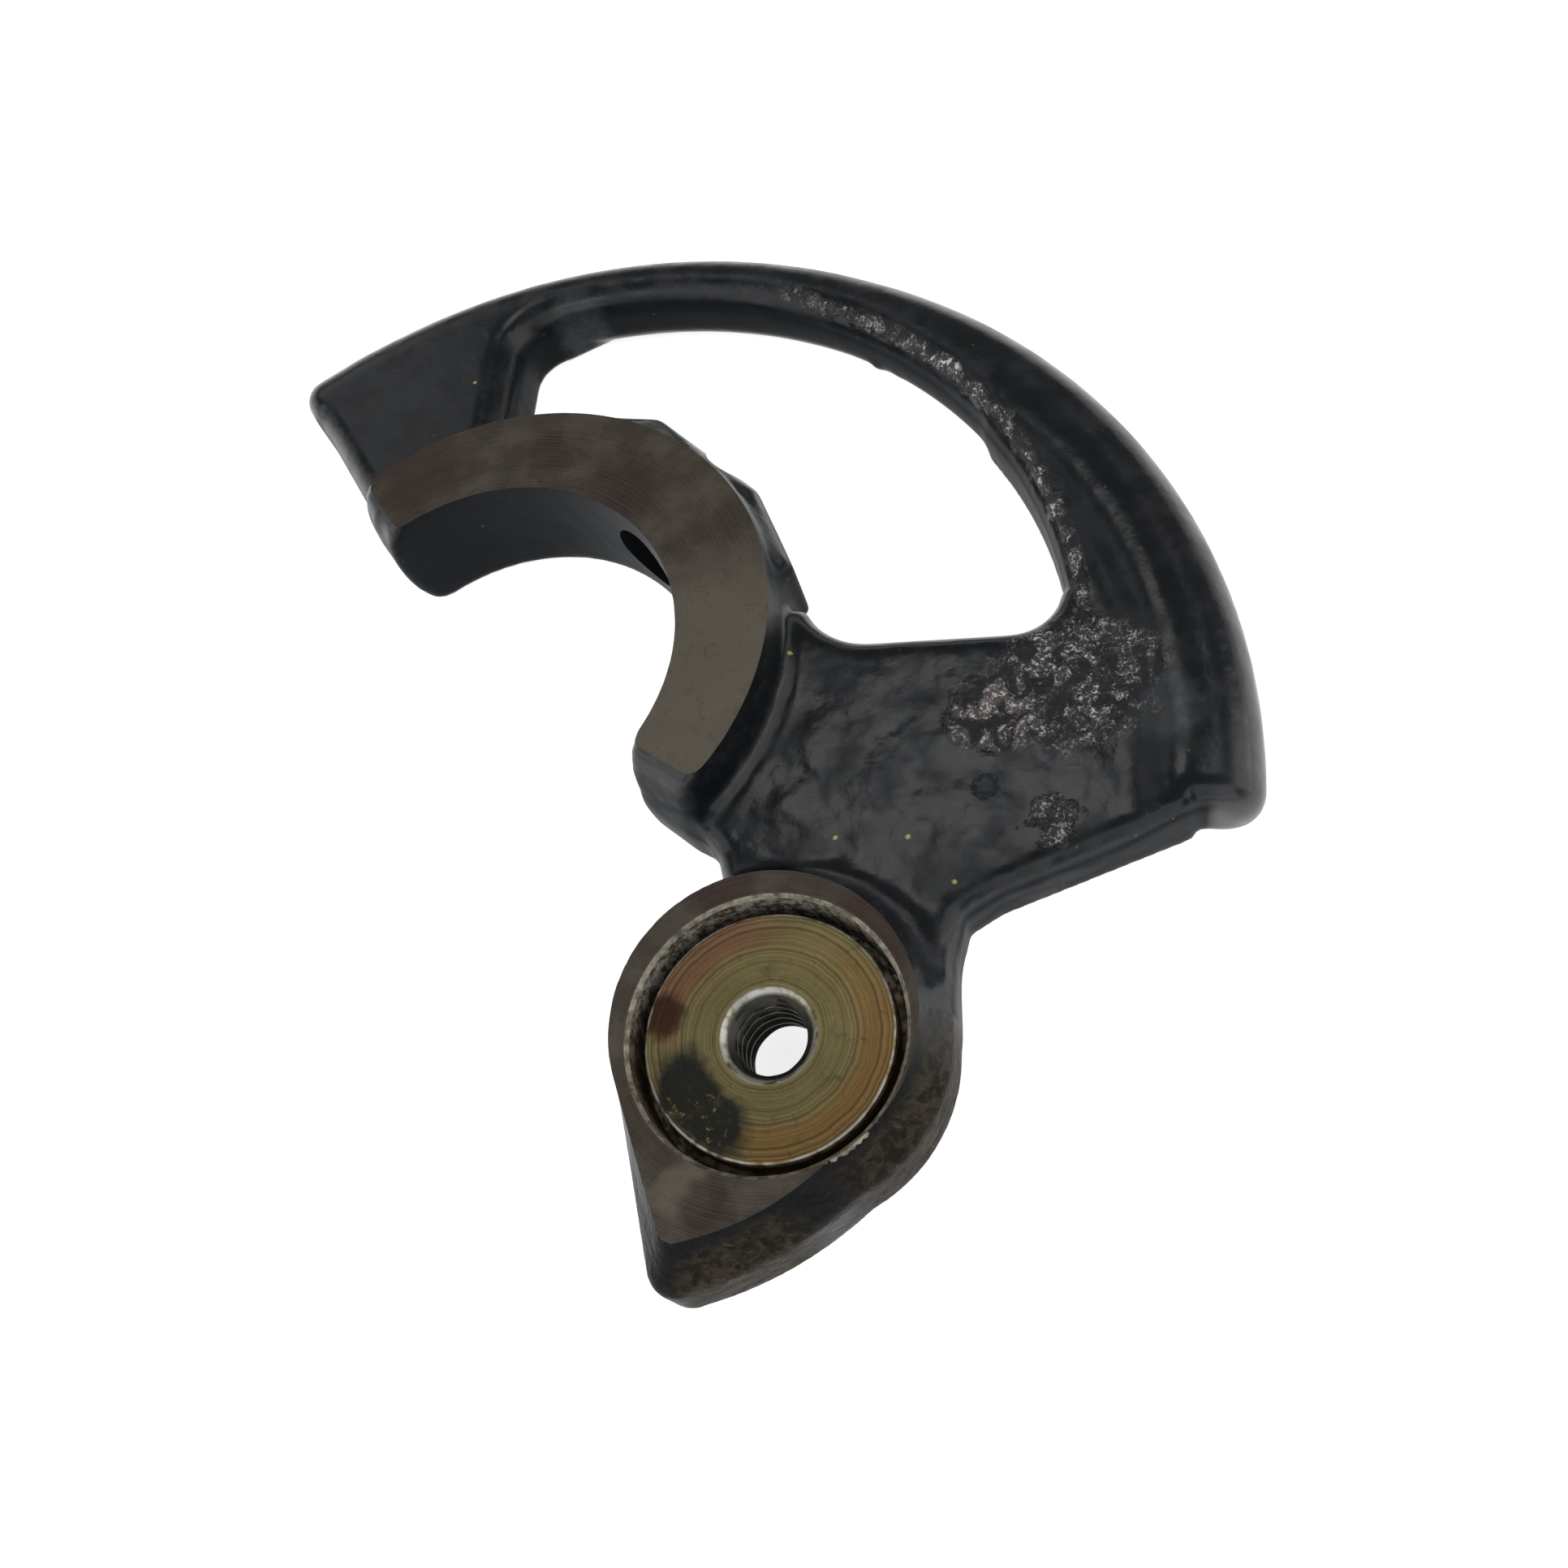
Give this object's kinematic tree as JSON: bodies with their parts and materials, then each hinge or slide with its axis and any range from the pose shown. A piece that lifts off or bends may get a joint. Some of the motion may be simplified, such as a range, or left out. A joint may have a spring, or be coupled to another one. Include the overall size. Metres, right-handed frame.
{
  "type": "sash lock lever assembly",
  "caption": "Cast swing lever of a sash lock: a part-ring hook, a D-shaped finger grip and a cam-nosed boss that turns on a flanged, tapped pivot bush.",
  "frame": {"origin": "centre of the bounding box on the plane of the flat back (Z = 0)", "axes": "+Z along the pivot axis, from the flat back to the machined faces; +Y from the boss towards the finger grip; +X towards the grip's foot, away from the hook's mouth"},
  "size_m": [0.0864, 0.0938, 0.0109],
  "materials": {
    "black_enamel": "gloss black enamel over cast iron, with bare dull machined faces on the hook and the boss",
    "yellow_passivated_steel": "turned steel with a worn yellow passivated coat",
    "plain_steel": "dull plain steel"
  },
  "bodies": {
    "pivot": {"pivot_bush": "yellow_passivated_steel", "thrust_washer": "plain_steel"},
    "lever": {"lever_casting": "black_enamel"}
  },
  "joints": [
    {"name": "lever_swing", "type": "hinge", "parent": "pivot", "child": "lever", "pos_m": [0.00852, -0.02935, 0], "axis": [0, 0, 1], "continuous": true}
  ]
}
